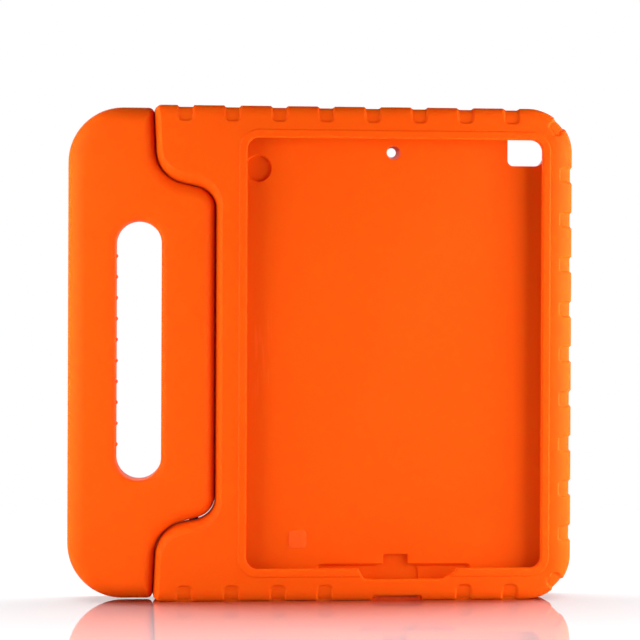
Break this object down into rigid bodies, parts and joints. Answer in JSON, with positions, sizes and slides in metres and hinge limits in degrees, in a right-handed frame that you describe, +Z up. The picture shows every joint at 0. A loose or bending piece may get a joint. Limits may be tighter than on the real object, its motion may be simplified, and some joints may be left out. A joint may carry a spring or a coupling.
{
  "type": "kids tablet case",
  "caption": "Thick foam case that holds a tablet in a lipped pocket, with a carry handle along one side that swivels on pins to act as a stand.",
  "frame": {"origin": "middle of the footprint of the case standing upright on its bottom edge, on the surface it stands on", "axes": "+Z up along the handle's pivot, +X towards the side away from the handle, -Y out of the pocket towards the viewer"},
  "size_m": [0.262, 0.0244, 0.2547],
  "materials": {
    "orange_foam": "satin moulded EVA foam with a fine skin texture",
    "dark_pin": "satin, near black"
  },
  "bodies": {
    "case": {"case_body": "orange_foam", "upper_hinge_pin": "dark_pin", "lower_hinge_pin": "dark_pin"},
    "handle": {"handle": "orange_foam"}
  },
  "joints": [
    {"name": "handle_swivel", "type": "hinge", "parent": "case", "child": "handle", "pos_m": [-0.06603, 0, 0.12735], "axis": [0, 0, -1], "range_deg": [-90, 90]}
  ]
}
